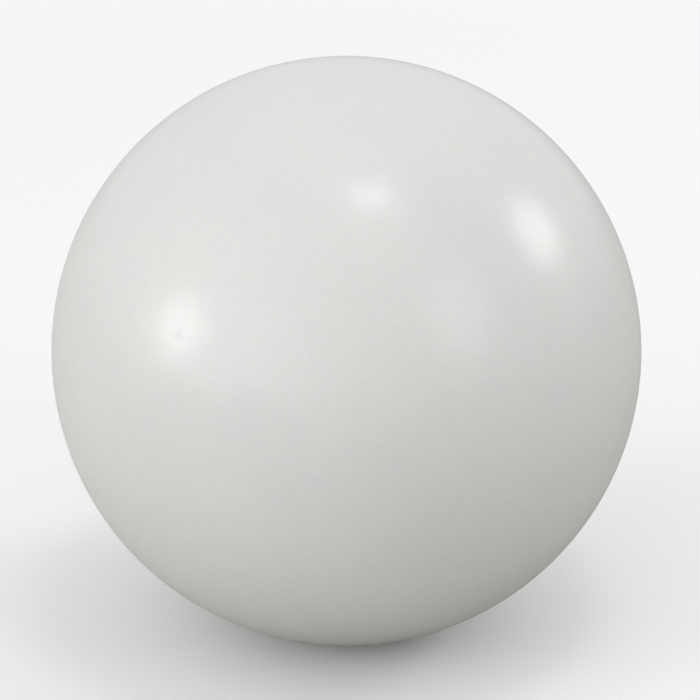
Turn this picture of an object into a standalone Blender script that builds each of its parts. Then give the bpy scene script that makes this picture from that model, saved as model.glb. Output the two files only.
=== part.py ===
"""A pool cue ball, cast in two stages: a core of mineral-filled resin, a white outer
layer cast round it, and a white plug in the hole that the mould's locating pin leaves.

Metres, +Z up. The origin is the centre of the ball, and the plug is at the bottom.
Every piece is turned about the Z axis from an outline of (distance from axis, height).
"""

import math

import bmesh
import bpy

# Driving dimensions
BALL_DIAMETER = 0.05715  # 2 1/4 inches, the regulation pool ball
SHELL_THICKNESS = 0.006
PIN_HOLE_DIAMETER = 0.0044  # the mould's locating pin, with a little draught
PIN_SOCKET_DEPTH = 0.005  # how far the pin went into the core
BOND_GAP = 0.0003  # clearance left between neighbouring pieces

# How finely the round surfaces are divided
SEGMENTS = 48  # round the axis, a multiple of 4 so that the widest points are on X and Y
ARC_STEPS = 12  # from a pole to the equator
CAP_STEPS = 2  # across the plug's lower end
MERGE_DISTANCE = 0.000001

# Sizes worked out from those above
BALL_RADIUS = BALL_DIAMETER / 2
CAVITY_RADIUS = BALL_RADIUS - SHELL_THICKNESS
CORE_RADIUS = CAVITY_RADIUS - BOND_GAP
HOLE_RADIUS = PIN_HOLE_DIAMETER / 2
PLUG_RADIUS = HOLE_RADIUS - BOND_GAP
SOCKET_TOP = -CORE_RADIUS + PIN_SOCKET_DEPTH
PLUG_TOP = SOCKET_TOP - BOND_GAP
SMOOTH_ANGLE = math.radians(30)

WHITE_RESIN = {"colour": (0.80, 0.80, 0.78), "roughness": 0.3}
FILLED_RESIN = {"colour": (0.42, 0.38, 0.32), "roughness": 0.7}


def clear_scene():
    """Removes whatever the file opened with."""
    for thing in list(bpy.data.objects):
        bpy.data.objects.remove(thing)


def arc(radius, start, end, steps):
    """Points of an arc round the origin, by the angle down from the top of the ball."""
    points = []
    for step in range(steps + 1):
        angle = start + (end - start) * step / steps
        points.append((radius * math.sin(angle), radius * math.cos(angle)))
    return points


def pole_to_hole(radius, hole_radius):
    """The outline of a sphere from its top down to the edge of the hole at its bottom."""
    hole_edge = math.pi - math.asin(hole_radius / radius)
    upper = arc(radius, 0, math.pi / 2, ARC_STEPS)
    lower = arc(radius, math.pi / 2, hole_edge, ARC_STEPS)
    return upper + lower[1:]


def on_axis(point):
    """The same point, moved exactly onto the axis."""
    return (0.0, point[1])


def turned_piece(name, outline, material):
    """Turns an outline about the Z axis into one closed solid, shaded smooth."""
    mesh = bpy.data.meshes.new(name)
    bm = bmesh.new()
    verts = [bm.verts.new((x, 0, z)) for x, z in outline]
    edges = [bm.edges.new(pair) for pair in zip(verts, verts[1:])]
    bmesh.ops.spin(
        bm,
        geom=verts + edges,
        cent=(0, 0, 0),
        axis=(0, 0, 1),
        angle=2 * math.pi,
        steps=SEGMENTS,
        use_merge=True,
    )
    bmesh.ops.remove_doubles(bm, verts=bm.verts, dist=MERGE_DISTANCE)
    bmesh.ops.recalc_face_normals(bm, faces=bm.faces)
    bm.to_mesh(mesh)
    bm.free()
    mesh.shade_smooth()
    mesh.set_sharp_from_angle(angle=SMOOTH_ANGLE)
    mesh.materials.append(material)
    piece = bpy.data.objects.new(name, mesh)
    bpy.context.scene.collection.objects.link(piece)
    return piece


def resin(name, colour, roughness):
    """A cast resin's material."""
    material = bpy.data.materials.new(name)
    material.use_nodes = True
    shader = material.node_tree.nodes["Principled BSDF"]
    shader.inputs["Base Color"].default_value = (*colour, 1)
    shader.inputs["Roughness"].default_value = roughness
    shader.inputs["Metallic"].default_value = 0
    return material


def make_outer_shell(material):
    """The white layer: a hollow ball whose only opening is the pin's hole underneath."""
    outside = pole_to_hole(BALL_RADIUS, HOLE_RADIUS)
    inside = pole_to_hole(CAVITY_RADIUS, HOLE_RADIUS)
    outside[0] = on_axis(outside[0])
    inside[0] = on_axis(inside[0])
    return turned_piece("outer_shell", outside + inside[::-1], material)


def make_core(material):
    """The filled ball inside it, with the blind socket that the pin held it by."""
    outside = pole_to_hole(CORE_RADIUS, HOLE_RADIUS)
    outside[0] = on_axis(outside[0])
    socket = [(HOLE_RADIUS, SOCKET_TOP), (0.0, SOCKET_TOP)]
    return turned_piece("core", outside + socket, material)


def make_locating_plug(material):
    """The plug in the hole and the socket, its lower end following the ball's surface."""
    edge = math.pi - math.asin(PLUG_RADIUS / BALL_RADIUS)
    lower_end = arc(BALL_RADIUS, edge, math.pi, CAP_STEPS)
    lower_end[-1] = on_axis(lower_end[-1])
    upper_end = [(0.0, PLUG_TOP), (PLUG_RADIUS, PLUG_TOP)]
    return turned_piece("locating_plug", upper_end + lower_end, material)


def main():
    clear_scene()
    white = resin("white_resin", **WHITE_RESIN)
    filled = resin("filled_resin", **FILLED_RESIN)
    make_outer_shell(white)
    make_core(filled)
    make_locating_plug(white)


main()
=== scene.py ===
"""The looks of a pool cue ball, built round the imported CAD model.

Three turned pieces replace the CAD nodes one for one: the white outer shell, the plug in
its bottom, and the filled core inside. The rest is resin materials, a pale floor, four
soft lamps and the camera. Everything is in metres, with the ball's centre at the origin.
"""

import math

import bmesh
import bpy
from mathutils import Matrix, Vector


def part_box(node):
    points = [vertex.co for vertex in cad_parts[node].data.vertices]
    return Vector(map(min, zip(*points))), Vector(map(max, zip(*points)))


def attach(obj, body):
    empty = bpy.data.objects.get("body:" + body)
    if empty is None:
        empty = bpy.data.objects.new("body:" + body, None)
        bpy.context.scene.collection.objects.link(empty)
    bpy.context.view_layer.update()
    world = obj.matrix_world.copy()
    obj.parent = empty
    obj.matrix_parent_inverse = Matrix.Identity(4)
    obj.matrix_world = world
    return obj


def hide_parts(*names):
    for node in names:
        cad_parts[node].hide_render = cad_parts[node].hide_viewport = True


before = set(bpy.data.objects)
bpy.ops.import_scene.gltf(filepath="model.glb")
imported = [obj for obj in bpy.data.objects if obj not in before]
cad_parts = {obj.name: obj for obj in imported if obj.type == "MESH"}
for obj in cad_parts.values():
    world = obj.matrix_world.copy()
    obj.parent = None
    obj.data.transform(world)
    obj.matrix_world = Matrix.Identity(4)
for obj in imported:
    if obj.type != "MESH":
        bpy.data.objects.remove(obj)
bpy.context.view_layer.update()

# Sizes taken from the CAD model
LOW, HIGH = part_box("outer_shell")
BALL_RADIUS = (HIGH.x - LOW.x) / 2
CORE_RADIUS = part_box("core")[1].x
PLUG_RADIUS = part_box("locating_plug")[1].x
PLUG_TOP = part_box("locating_plug")[1].z
FLOOR_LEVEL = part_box("locating_plug")[0].z

# Clearances and edges
BOND_LINE = 0.00002  # between bonded pieces
RIM_RADIUS = 0.00006  # how far the edge of the plug and of its hole is worn round
CAVITY_RADIUS = CORE_RADIUS + BOND_LINE
HOLE_RADIUS = PLUG_RADIUS + BOND_LINE
SOCKET_TOP = PLUG_TOP + BOND_LINE

# Outlines are in (distance from axis, height), with angles round from straight up
CENTRE = (0, 0)
OUTWARD = 0.5 * math.pi
DOWN = math.pi
INWARD = 1.5 * math.pi

# How finely the round surfaces are divided
SEGMENTS = 160  # round the axis
ARC_STEPS = 40  # from a pole to the equator
RIM_STEPS = 3
CAP_STEPS = 4
MERGE_DISTANCE = 0.000001
SMOOTH_ANGLE = math.radians(30)

NOISE_BAND = (0.35, 0.65)  # where most of a soft noise's values lie

# White resin: colours, gloss, and the sizes of its patterns in metres
RESIN_COOL = (0.738, 0.743, 0.735, 1)
RESIN_WARM = (0.757, 0.756, 0.743, 1)
RESIN_SHADE = (0.688, 0.688, 0.672, 1)
CLOUD_SIZE = 0.011
MOTTLE_SIZE = 0.0007
MOTTLE_BAND = (0.45, 0.8)  # how much of the noise shows as mottle
MOTTLE_SHARE = 0.3
RESIN_IOR = 1.55
SCATTER_SHARE = 0.25  # of the light, how much goes some way under the surface
SCATTER_DEPTH = 0.0015  # how far it goes there, for red light
SCATTER_BY_COLOUR = (1.0, 0.9, 0.75)  # and for red, green and blue, as shares of that
ROUGH_LOW = 0.235  # where handling has kept it bright
ROUGH_HIGH = 0.258
SMUDGE_SIZE = 0.007
SMUDGE_DETAIL = 3
WAVE_SIZE = 0.004  # what grinding leaves
WAVE_HEIGHT = 0.00003
RIPPLE_SIZE = 0.0008  # what polishing leaves
RIPPLE_HEIGHT = 0.000006

# Wear on the white resin
HAIRLINE_LENGTH = 0.009
HAIRLINE_WIDTH = 0.00015
HAIRLINE_DEPTH = 0.0000025
HAIRLINE_BAND = (0.74, 0.80)  # how much of the noise makes a scratch
HAIRLINE_HAZE = 0.01  # what a scratch adds to the roughness
# How each set of scratches is turned, in radians
HAIRLINE_TURNS = ((0.3, 0.7, 0.2), (1.4, 0.2, 1.1), (2.2, 1.3, 2.6), (0.9, 2.4, 0.5))
HAIRLINE_REACH = (0.6, 0.85)  # of the radius, from fully there to gone
NICK_SPACING = 0.01
NICK_RADIUS = 0.0007
NICK_DEPTH = 0.000035
NICK_TINT = 0.4  # how far its colour goes towards the shade
MAIN_NICK = (-33.4, 19.3)  # azimuth from the camera's side and elevation, in degrees

# Filled resin
FILLER_TAN = (0.42, 0.38, 0.32, 1)
FILLER_PALE = (0.62, 0.58, 0.50, 1)
FILLER_DARK = (0.20, 0.17, 0.14, 1)
FILLER_ROUGHNESS = (0.55, 0.8)
GRAIN_SIZE = 0.0004
GRAIN_HEIGHT = 0.00003
# Where a grain's own random number, from 0 to 1, starts and ends to make it pale or dark
PALE_GRAINS = (0.75, 0.85)
DARK_GRAINS = (0.85, 0.92)

# The camera
CAMERA_ELEVATION = math.radians(20)
LENS_MM = 135
SENSOR_MM = 36
BALL_SHARE = 0.843  # of the picture's width
AIM_RIGHT = 0.00034  # the picture's middle, from the ball's centre
AIM_UP = 0.00008

# Oval lamps, which the camera doesn't see: name, azimuth from the camera's side, elevation,
# width, height and roll as the ball sees them, in degrees, and power in watts
LAMP_DISTANCE = 0.8
LAMPS = (
    ("lamp_left", -68.6, 15.2, 20, 19, 0, 0.82),
    ("lamp_right", 105.0, 28.9, 21, 18, 0, 0.74),
    ("lamp_top", 37.7, 77.2, 13, 9, -45, 0.39),
    ("lamp_front", 48.5, 27.0, 24, 34, 0, 0.60),
)
SKY_STRENGTH = 0.62
# Glows in the sky: (azimuth, elevation, strength)
SKY_GLOWS = ((-45, 5, 1.27), (135, 45, 0.24), (180, 5, 0.12))
GLOW_TIGHTNESS = 4  # the power of the cosine that it fades by
BACKDROP = (0.93, 0.93, 0.93, 1)
FLOOR_REACH = 4.0  # from the ball to the floor's edges
FLOOR_FADE = (0.12, 0.4)  # how far from the ball it starts and ends to fade into the backdrop
FLOOR_ROUGHNESS = 0.9
FLOOR_SEEN = (0.98, 0.98, 0.98, 1)
# What the ball mirrors of the floor, and what lights it from there, on the left and the right.
# Painted shade: these are darker than the floor the camera sees, and darker on the right,
# where they stand for the ball's shadow falling on the floor there.
MIRRORED_LEFT = (0.63, 0.62, 0.60, 1)
MIRRORED_RIGHT = (0.45, 0.44, 0.42, 1)
BOUNCE_LEFT = (0.475, 0.465, 0.443, 1)
BOUNCE_RIGHT = (0.393, 0.385, 0.367, 1)
BOUNCE_EDGE = 0.02  # half the width of the change between the sides


# --- Turned shapes ---


def arc(centre, radius, start, end, steps):
    """Points of an arc in an outline, from the angle start to the angle end."""
    points = []
    for step in range(steps + 1):
        angle = start + (end - start) * step / steps
        points.append((centre[0] + radius * math.sin(angle), centre[1] + radius * math.cos(angle)))
    return points


def down_to(radius, low_end):
    """The outline of a sphere from its top, by way of its equator, down to the angle low_end."""
    upper = arc(CENTRE, radius, 0, OUTWARD, ARC_STEPS)
    lower = arc(CENTRE, radius, OUTWARD, low_end, ARC_STEPS)
    upper[0] = (0.0, radius)
    return upper + lower[1:]


def edge_angle(radius, across):
    """The angle, near the bottom of a sphere, at which it is across from the axis."""
    return DOWN - math.asin(across / radius)


def rim_centre(across):
    """The centre of the worn rim that touches the ball's surface from inside, and its angle."""
    reach = BALL_RADIUS - RIM_RADIUS
    angle = edge_angle(reach, across)
    return (across, reach * math.cos(angle)), angle


def turned(name, outline, material):
    """Turns an outline of (distance from axis, height) about Z into one smooth closed mesh."""
    mesh = bpy.data.meshes.new(name)
    bm = bmesh.new()
    verts = [bm.verts.new((x, 0, z)) for x, z in outline]
    edges = [bm.edges.new(pair) for pair in zip(verts, verts[1:])]
    bmesh.ops.spin(
        bm,
        geom=verts + edges,
        cent=(0, 0, 0),
        axis=(0, 0, 1),
        angle=2 * math.pi,
        steps=SEGMENTS,
        use_merge=True,
    )
    bmesh.ops.remove_doubles(bm, verts=bm.verts, dist=MERGE_DISTANCE)
    bmesh.ops.recalc_face_normals(bm, faces=bm.faces)
    bm.to_mesh(mesh)
    bm.free()
    mesh.shade_smooth()
    mesh.set_sharp_from_angle(angle=SMOOTH_ANGLE)
    mesh.materials.append(material)
    piece = bpy.data.objects.new(name, mesh)
    bpy.context.scene.collection.objects.link(piece)
    return piece


def stand_for(piece, node):
    """Ties a piece to the ball and has it replace its CAD node."""
    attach(piece, "root")
    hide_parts(node)


# --- Materials ---


def new_material(name):
    """A material, its node tree and its shader."""
    material = bpy.data.materials.new(name)
    material.use_nodes = True
    tree = material.node_tree
    return material, tree, tree.nodes["Principled BSDF"]


def object_coordinates(tree):
    """Coordinates fixed to the piece, in metres."""
    return tree.nodes.new("ShaderNodeTexCoord").outputs["Object"]


def noise(tree, where, size, detail=2.0):
    """Soft noise from about 0.3 to 0.7 whose patches are about size across, in metres."""
    node = tree.nodes.new("ShaderNodeTexNoise")
    node.inputs["Scale"].default_value = 1 / size
    node.inputs["Detail"].default_value = detail
    tree.links.new(where, node.inputs["Vector"])
    return node.outputs["Fac"]


def math_node(tree, operation, first, second):
    """One arithmetic step; each value is a socket or a number."""
    node = tree.nodes.new("ShaderNodeMath")
    node.operation = operation
    for socket, value in zip(node.inputs, (first, second)):
        if isinstance(value, bpy.types.NodeSocket):
            tree.links.new(value, socket)
        else:
            socket.default_value = value
    return node.outputs["Value"]


def spread(tree, value, from_low, from_high, to_low, to_high, curve="LINEAR"):
    """Maps a range of values to another, and stops at its ends."""
    node = tree.nodes.new("ShaderNodeMapRange")
    node.interpolation_type = curve
    tree.links.new(value, node.inputs["Value"])
    node.inputs["From Min"].default_value = from_low
    node.inputs["From Max"].default_value = from_high
    node.inputs["To Min"].default_value = to_low
    node.inputs["To Max"].default_value = to_high
    return node.outputs["Result"]


def blend_colours(tree, share, first, second):
    """From the first colour to the second as share goes from 0 to 1."""
    node = tree.nodes.new("ShaderNodeMix")
    node.data_type = "RGBA"
    tree.links.new(share, node.inputs["Factor"])
    for name, colour in (("A", first), ("B", second)):
        socket = next(i for i in node.inputs if i.name == name and i.type == "RGBA")
        if isinstance(colour, bpy.types.NodeSocket):
            tree.links.new(colour, socket)
        else:
            socket.default_value = colour
    return next(o for o in node.outputs if o.type == "RGBA")


def bumped(tree, height):
    """A surface normal from a height in metres."""
    node = tree.nodes.new("ShaderNodeBump")
    node.inputs["Distance"].default_value = 1
    tree.links.new(height, node.inputs["Height"])
    return node.outputs["Normal"]


def hairlines(tree, where):
    """1 on fine scratches, each along a circle round one of a few axes, and 0 between them."""
    stretch = HAIRLINE_LENGTH / HAIRLINE_WIDTH
    full, gone = (share * BALL_RADIUS for share in HAIRLINE_REACH)
    found = 0
    for turn in HAIRLINE_TURNS:
        node = tree.nodes.new("ShaderNodeMapping")
        node.vector_type = "TEXTURE"  # turns first, then stretches
        node.inputs["Rotation"].default_value = turn
        node.inputs["Scale"].default_value = (stretch, stretch, 1)
        tree.links.new(where, node.inputs["Vector"])
        streaks = noise(tree, node.outputs["Vector"], HAIRLINE_WIDTH, 0)
        streaks = spread(tree, streaks, *HAIRLINE_BAND, 0, 1)
        # Near the axis's ends they would lie along the surface and turn into blots
        along = tree.nodes.new("ShaderNodeSeparateXYZ")
        tree.links.new(node.outputs["Vector"], along.inputs["Vector"])
        from_middle = math_node(tree, "ABSOLUTE", along.outputs["Z"], 0)
        fading = spread(tree, from_middle, full, gone, 1, 0)
        found = math_node(tree, "MAXIMUM", math_node(tree, "MULTIPLY", streaks, fading), found)
    return found


def nicks(tree, where):
    """1 in the middle of a few small round nicks, falling to 0 at their edges."""
    scattered = tree.nodes.new("ShaderNodeTexVoronoi")
    scattered.inputs["Scale"].default_value = 1 / NICK_SPACING
    tree.links.new(where, scattered.inputs["Vector"])
    away = math_node(tree, "MULTIPLY", scattered.outputs["Distance"], NICK_SPACING)
    main = tree.nodes.new("ShaderNodeVectorMath")
    main.operation = "DISTANCE"
    tree.links.new(where, main.inputs[0])
    main.inputs[1].default_value = BALL_RADIUS * direction(*map(math.radians, MAIN_NICK))
    away = math_node(tree, "MINIMUM", away, main.outputs["Value"])
    return spread(tree, away, 0, NICK_RADIUS, 1, 0, "SMOOTHSTEP")


def resin_colour(tree, where, dents):
    """White with faint warm clouds and a fine mottle, and darker in the nicks."""
    clouds = spread(tree, noise(tree, where, CLOUD_SIZE), *NOISE_BAND, 0, 1)
    base = blend_colours(tree, clouds, RESIN_COOL, RESIN_WARM)
    mottle = spread(tree, noise(tree, where, MOTTLE_SIZE), *MOTTLE_BAND, 0, MOTTLE_SHARE)
    shade = math_node(tree, "MAXIMUM", mottle, math_node(tree, "MULTIPLY", dents, NICK_TINT))
    return blend_colours(tree, shade, base, RESIN_SHADE)


def resin_roughness(tree, where, scratches):
    """Smudged by handling, and a little rougher in the scratches."""
    smudges = noise(tree, where, SMUDGE_SIZE, SMUDGE_DETAIL)
    roughness = spread(tree, smudges, *NOISE_BAND, ROUGH_LOW, ROUGH_HIGH)
    haze = math_node(tree, "MULTIPLY", scratches, HAIRLINE_HAZE)
    return math_node(tree, "ADD", roughness, haze)


def resin_relief(tree, where, scratches, dents):
    """The surface's height in metres: soft waves and ripples, less the scratches and nicks."""
    height = math_node(tree, "MULTIPLY", noise(tree, where, WAVE_SIZE), WAVE_HEIGHT)
    for pattern, size in (
        (noise(tree, where, RIPPLE_SIZE), RIPPLE_HEIGHT),
        (scratches, -HAIRLINE_DEPTH),
        (dents, -NICK_DEPTH),
    ):
        step = math_node(tree, "MULTIPLY", pattern, size)
        height = math_node(tree, "ADD", height, step)
    return height


def white_resin():
    """Cast white resin, ground and polished: faint cloudiness, hairline scratches, a soft gloss."""
    material, tree, shader = new_material("white_resin")
    where = object_coordinates(tree)
    scratches = hairlines(tree, where)
    dents = nicks(tree, where)
    tree.links.new(resin_colour(tree, where, dents), shader.inputs["Base Color"])
    tree.links.new(resin_roughness(tree, where, scratches), shader.inputs["Roughness"])
    relief = resin_relief(tree, where, scratches, dents)
    tree.links.new(bumped(tree, relief), shader.inputs["Normal"])
    shader.inputs["IOR"].default_value = RESIN_IOR
    shader.inputs["Subsurface Weight"].default_value = SCATTER_SHARE
    shader.inputs["Subsurface Radius"].default_value = SCATTER_BY_COLOUR
    shader.inputs["Subsurface Scale"].default_value = SCATTER_DEPTH
    return material


def filled_resin():
    """Resin full of ground mineral: a tan mass with pale and dark grains."""
    material, tree, shader = new_material("filled_resin")
    where = object_coordinates(tree)
    grains = tree.nodes.new("ShaderNodeTexVoronoi")
    grains.inputs["Scale"].default_value = 1 / GRAIN_SIZE
    tree.links.new(where, grains.inputs["Vector"])
    kind = tree.nodes.new("ShaderNodeSeparateColor")
    tree.links.new(grains.outputs["Color"], kind.inputs["Color"])
    pale = spread(tree, kind.outputs["Red"], *PALE_GRAINS, 0, 1)
    dark = spread(tree, kind.outputs["Green"], *DARK_GRAINS, 0, 1)
    base = blend_colours(tree, pale, FILLER_TAN, FILLER_PALE)
    tree.links.new(blend_colours(tree, dark, base, FILLER_DARK), shader.inputs["Base Color"])
    roughness = spread(tree, kind.outputs["Blue"], 0, 1, *FILLER_ROUGHNESS)
    tree.links.new(roughness, shader.inputs["Roughness"])
    height = math_node(tree, "MULTIPLY", grains.outputs["Distance"], -GRAIN_HEIGHT)
    tree.links.new(bumped(tree, height), shader.inputs["Normal"])
    return material


# --- The pieces ---


def make_outer_shell(material):
    """The white layer: the ball's surface, the worn rim of the hole, its wall, and the cavity."""
    centre, rim_angle = rim_centre(HOLE_RADIUS + RIM_RADIUS)
    outside = down_to(BALL_RADIUS, rim_angle)
    rim = arc(centre, RIM_RADIUS, rim_angle, INWARD, RIM_STEPS)
    inside = down_to(CAVITY_RADIUS, edge_angle(CAVITY_RADIUS, HOLE_RADIUS))
    piece = turned("white_shell", outside + rim[1:] + inside[::-1], material)
    stand_for(piece, "outer_shell")


def make_core(material):
    """The filled ball and its blind socket."""
    outside = down_to(CORE_RADIUS, edge_angle(CORE_RADIUS, HOLE_RADIUS))
    socket = [(HOLE_RADIUS, SOCKET_TOP), (0.0, SOCKET_TOP)]
    piece = turned("filled_core", outside + socket, material)
    stand_for(piece, "core")


def make_plug(material):
    """The plug: flat on top, and below it the worn rim and a cap of the ball's surface."""
    centre, rim_angle = rim_centre(PLUG_RADIUS - RIM_RADIUS)
    top = [(0.0, PLUG_TOP), (PLUG_RADIUS, PLUG_TOP)]
    rim = arc(centre, RIM_RADIUS, OUTWARD, rim_angle, RIM_STEPS)
    cap = arc(CENTRE, BALL_RADIUS, rim_angle, DOWN, CAP_STEPS)
    cap[-1] = (0.0, -BALL_RADIUS)
    piece = turned("pin_plug", top + rim + cap[1:], material)
    stand_for(piece, "locating_plug")


# --- The studio ---


def direction(azimuth, elevation):
    """A unit vector from the ball, by azimuth round from the camera's side and elevation."""
    flat = math.cos(elevation)
    return Vector(
        (flat * math.sin(azimuth), -flat * math.cos(azimuth), math.sin(elevation))
    )


def point_at(thing, target):
    """Turns a lamp or the camera towards a point."""
    thing.rotation_euler = (target - thing.location).to_track_quat("-Z", "Y").to_euler()


def floor_colour(tree, where, ray):
    """Pale to the camera, and darker in what the ball mirrors of it and is lit by: painted shade,
    darker still on the right, where it stands for the ball's shadow.
    """
    across = tree.nodes.new("ShaderNodeSeparateXYZ")
    tree.links.new(where, across.inputs["Vector"])
    # Painted shadow: to the ball's rays, the floor's right side (x above zero) is darker, standing
    # for the ball's shadow there
    side = spread(tree, across.outputs["X"], -BOUNCE_EDGE, BOUNCE_EDGE, 0, 1)
    bounce = blend_colours(tree, side, BOUNCE_LEFT, BOUNCE_RIGHT)
    mirrored = blend_colours(tree, side, MIRRORED_LEFT, MIRRORED_RIGHT)
    colour = blend_colours(tree, ray["Is Glossy Ray"], bounce, mirrored)
    return blend_colours(tree, ray["Is Camera Ray"], colour, FLOOR_SEEN)


def fade_away(tree, where, ray, near):
    """To the camera, the near surface turns into the backdrop as it gets further from the ball."""
    away = tree.nodes.new("ShaderNodeVectorMath")
    away.operation = "LENGTH"
    tree.links.new(where, away.inputs[0])
    fade = spread(tree, away.outputs["Value"], *FLOOR_FADE, 0, 1, "SMOOTHSTEP")
    far = tree.nodes.new("ShaderNodeEmission")
    far.inputs["Color"].default_value = BACKDROP
    near_or_far = tree.nodes.new("ShaderNodeMixShader")
    share = math_node(tree, "MULTIPLY", ray["Is Camera Ray"], fade)
    tree.links.new(share, near_or_far.inputs["Fac"])
    tree.links.new(near, near_or_far.inputs[1])
    tree.links.new(far.outputs["Emission"], near_or_far.inputs[2])
    return near_or_far.outputs["Shader"]


def floor_material():
    """Matt and pale, with no horizon."""
    material, tree, shader = new_material("floor")
    where = object_coordinates(tree)
    ray = tree.nodes.new("ShaderNodeLightPath").outputs
    tree.links.new(floor_colour(tree, where, ray), shader.inputs["Base Color"])
    shader.inputs["Roughness"].default_value = FLOOR_ROUGHNESS
    surface = fade_away(tree, where, ray, shader.outputs["BSDF"])
    tree.links.new(surface, tree.nodes["Material Output"].inputs["Surface"])
    return material


def lay_floor():
    """A flat floor that the ball stands on."""
    mesh = bpy.data.meshes.new("floor")
    bm = bmesh.new()
    bmesh.ops.create_grid(bm, x_segments=1, y_segments=1, size=FLOOR_REACH)
    bm.to_mesh(mesh)
    bm.free()
    mesh.materials.append(floor_material())
    floor = bpy.data.objects.new("floor", mesh)
    floor.location.z = FLOOR_LEVEL
    bpy.context.scene.collection.objects.link(floor)


def light_the_sky():
    """An even sky with a few soft glows, which the camera doesn't see: it sees the backdrop."""
    world = bpy.data.worlds.new("studio")
    world.use_nodes = True
    tree = world.node_tree
    where = tree.nodes.new("ShaderNodeTexCoord").outputs["Generated"]
    light = SKY_STRENGTH
    for azimuth, elevation, strength in SKY_GLOWS:
        facing = tree.nodes.new("ShaderNodeVectorMath")
        facing.operation = "DOT_PRODUCT"
        tree.links.new(where, facing.inputs[0])
        facing.inputs[1].default_value = direction(math.radians(azimuth), math.radians(elevation))
        glow = math_node(tree, "MAXIMUM", facing.outputs["Value"], 0)
        glow = math_node(tree, "POWER", glow, GLOW_TIGHTNESS)
        glow = math_node(tree, "MULTIPLY", glow, strength)
        light = math_node(tree, "ADD", glow, light)
    seen = tree.nodes.new("ShaderNodeLightPath").outputs["Is Camera Ray"]
    background = tree.nodes["Background"]
    tree.links.new(blend_colours(tree, seen, light, BACKDROP), background.inputs["Color"])
    background.inputs["Strength"].default_value = 1
    bpy.context.scene.world = world


def hang_lamp(name, azimuth, elevation, width, height, roll, power):
    """An oval area lamp that faces the ball."""
    light = bpy.data.lights.new(name, "AREA")
    light.shape = "ELLIPSE"
    light.size = 2 * LAMP_DISTANCE * math.tan(math.radians(width / 2))
    light.size_y = 2 * LAMP_DISTANCE * math.tan(math.radians(height / 2))
    light.energy = power
    lamp = bpy.data.objects.new(name, light)
    lamp.location = LAMP_DISTANCE * direction(math.radians(azimuth), math.radians(elevation))
    point_at(lamp, Vector((0, 0, 0)))
    lamp.rotation_euler.rotate_axis("Z", math.radians(roll))
    lamp.visible_camera = False
    bpy.context.scene.collection.objects.link(lamp)


def set_camera():
    """A long lens, as far back as makes the ball fill its share of the picture."""
    data = bpy.data.cameras.new("camera")
    data.lens = LENS_MM
    data.sensor_width = SENSOR_MM
    camera = bpy.data.objects.new("camera", data)
    half_angle = math.atan(BALL_SHARE * SENSOR_MM / 2 / LENS_MM)
    distance = BALL_RADIUS / math.sin(half_angle)
    toward = direction(0, CAMERA_ELEVATION)
    up = direction(math.pi, math.pi / 2 - CAMERA_ELEVATION)
    aim = Vector((AIM_RIGHT, 0, 0)) + AIM_UP * up
    camera.location = aim + distance * toward
    point_at(camera, aim)
    bpy.context.scene.collection.objects.link(camera)
    bpy.context.scene.camera = camera


white = white_resin()
make_outer_shell(white)
make_core(filled_resin())
make_plug(white)
lay_floor()
light_the_sky()
for lamp_facts in LAMPS:
    hang_lamp(*lamp_facts)
set_camera()
bpy.context.scene.view_settings.view_transform = "Standard"
